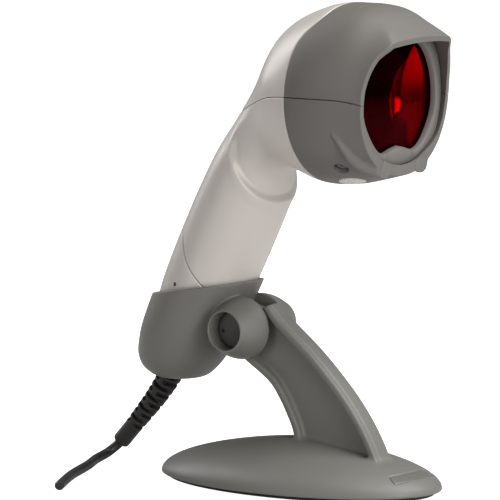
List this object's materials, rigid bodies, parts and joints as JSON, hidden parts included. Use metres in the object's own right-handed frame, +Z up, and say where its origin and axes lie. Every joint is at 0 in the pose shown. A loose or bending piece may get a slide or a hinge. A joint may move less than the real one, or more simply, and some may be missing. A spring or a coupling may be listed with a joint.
{
  "type": "handheld barcode scanner in a stand",
  "caption": "Handheld omnidirectional barcode scanner resting in a weighted oval stand with a tilting cradle and a strain-relieved cable.",
  "frame": {"origin": "on the counter, under the middle of the stand's oval foot", "axes": "+X the way the scan window and the foot's front point, +Y to the scanner's left, +Z up from the counter"},
  "size_m": [0.1798, 0.127, 0.2218],
  "materials": {
    "silver_plastic": "satin warm silver-grey",
    "dark_plastic": "fine-grained dark grey",
    "stand_plastic": "fine-grained grey with a green cast",
    "black_plastic": "moulded black",
    "black_rubber": "soft black",
    "red_filter": "polished deep red, see-through",
    "milky_lens": "milky translucent",
    "steel": "zinc plated",
    "mirror": "front-coated mirror",
    "circuit_board": "green solder resist",
    "brass": "turned"
  },
  "bodies": {
    "stand": {"stand_body": "stand_plastic", "name_badge": "stand_plastic", "base_weight": "steel", "base_plate": "black_plastic", "base_plate_screw_1": "steel", "base_plate_screw_2": "steel", "base_plate_screw_3": "steel", "base_plate_screw_4": "steel", "rubber_foot_pad": "black_rubber", "pivot_washer_left": "steel", "pivot_washer_right": "steel"},
    "cradle": {"cradle_cup": "stand_plastic", "cradle_magnet": "steel", "pivot_bolt": "steel", "pivot_cap_right": "dark_plastic", "pivot_cap_left": "dark_plastic"},
    "scanner": {"head_top_shell": "silver_plastic", "handle_shell": "silver_plastic", "handle_back_cover": "silver_plastic", "head_top_bumper": "dark_plastic", "head_bottom_bumper": "dark_plastic", "led_lens_left": "milky_lens", "led_lens_right": "milky_lens", "chin_screw_left": "steel", "chin_screw_right": "steel", "window_bezel": "dark_plastic", "scan_window": "red_filter", "window_gasket": "black_rubber", "optics_chassis": "black_plastic", "polygon_motor": "steel", "pattern_mirror_left_low": "mirror", "pattern_mirror_left_high": "mirror", "pattern_mirror_right_low": "mirror", "pattern_mirror_right_high": "mirror", "pattern_mirror_top": "mirror", "collection_mirror": "mirror", "laser_module": "brass", "photodetector": "black_plastic", "main_board": "circuit_board", "speaker": "black_plastic", "button_switch": "black_plastic", "interface_socket": "black_plastic", "magnet_sensor_board": "circuit_board", "shell_screw_low_left": "steel", "shell_screw_low_right": "steel", "shell_screw_high_left": "steel", "shell_screw_high_right": "steel", "cable_plug": "black_plastic"},
    "button": {"mode_button": "dark_plastic"},
    "polygon": {"polygon_mirror": "mirror"},
    "boot": {"cable_boot": "black_rubber"},
    "cord": {"cable": "black_rubber"}
  },
  "joints": [
    {"name": "cradle_tilt", "type": "hinge", "parent": "stand", "child": "cradle", "pos_m": [-0.0273, 0, 0.07], "axis": [0, 1, 0], "range_deg": [-15, 25]},
    {"name": "scanner_lift", "type": "slide", "parent": "cradle", "child": "scanner", "axis": [0.448, 0, 0.894], "range_m": [0, 0.035]},
    {"name": "mode_button_press", "type": "slide", "parent": "scanner", "child": "button", "axis": [0.894, 0, -0.448], "range_m": [0, 0.0008], "stiffness_N_per_m": 800},
    {"name": "polygon_spin", "type": "hinge", "parent": "scanner", "child": "polygon", "pos_m": [0.013, 0, 0.17], "axis": [0, 0, 1], "continuous": true},
    {"name": "boot_flex", "type": "hinge", "parent": "scanner", "child": "boot", "pos_m": [-0.0695, 0, 0.0505], "axis": [0, 1, 0], "range_deg": [-56, 34], "deforming": ["cable_boot"]},
    {"name": "cable_flex", "type": "hinge", "parent": "boot", "child": "cord", "pos_m": [-0.102, 0, 0.0094], "axis": [0, 1, 0], "range_deg": [-19, 31], "deforming": ["cable"]}
  ],
  "couplings": [
    {"joint": "boot_flex", "follows": "cradle_tilt", "ratio": -2.2},
    {"joint": "cable_flex", "follows": "cradle_tilt", "ratio": 1.2}
  ]
}
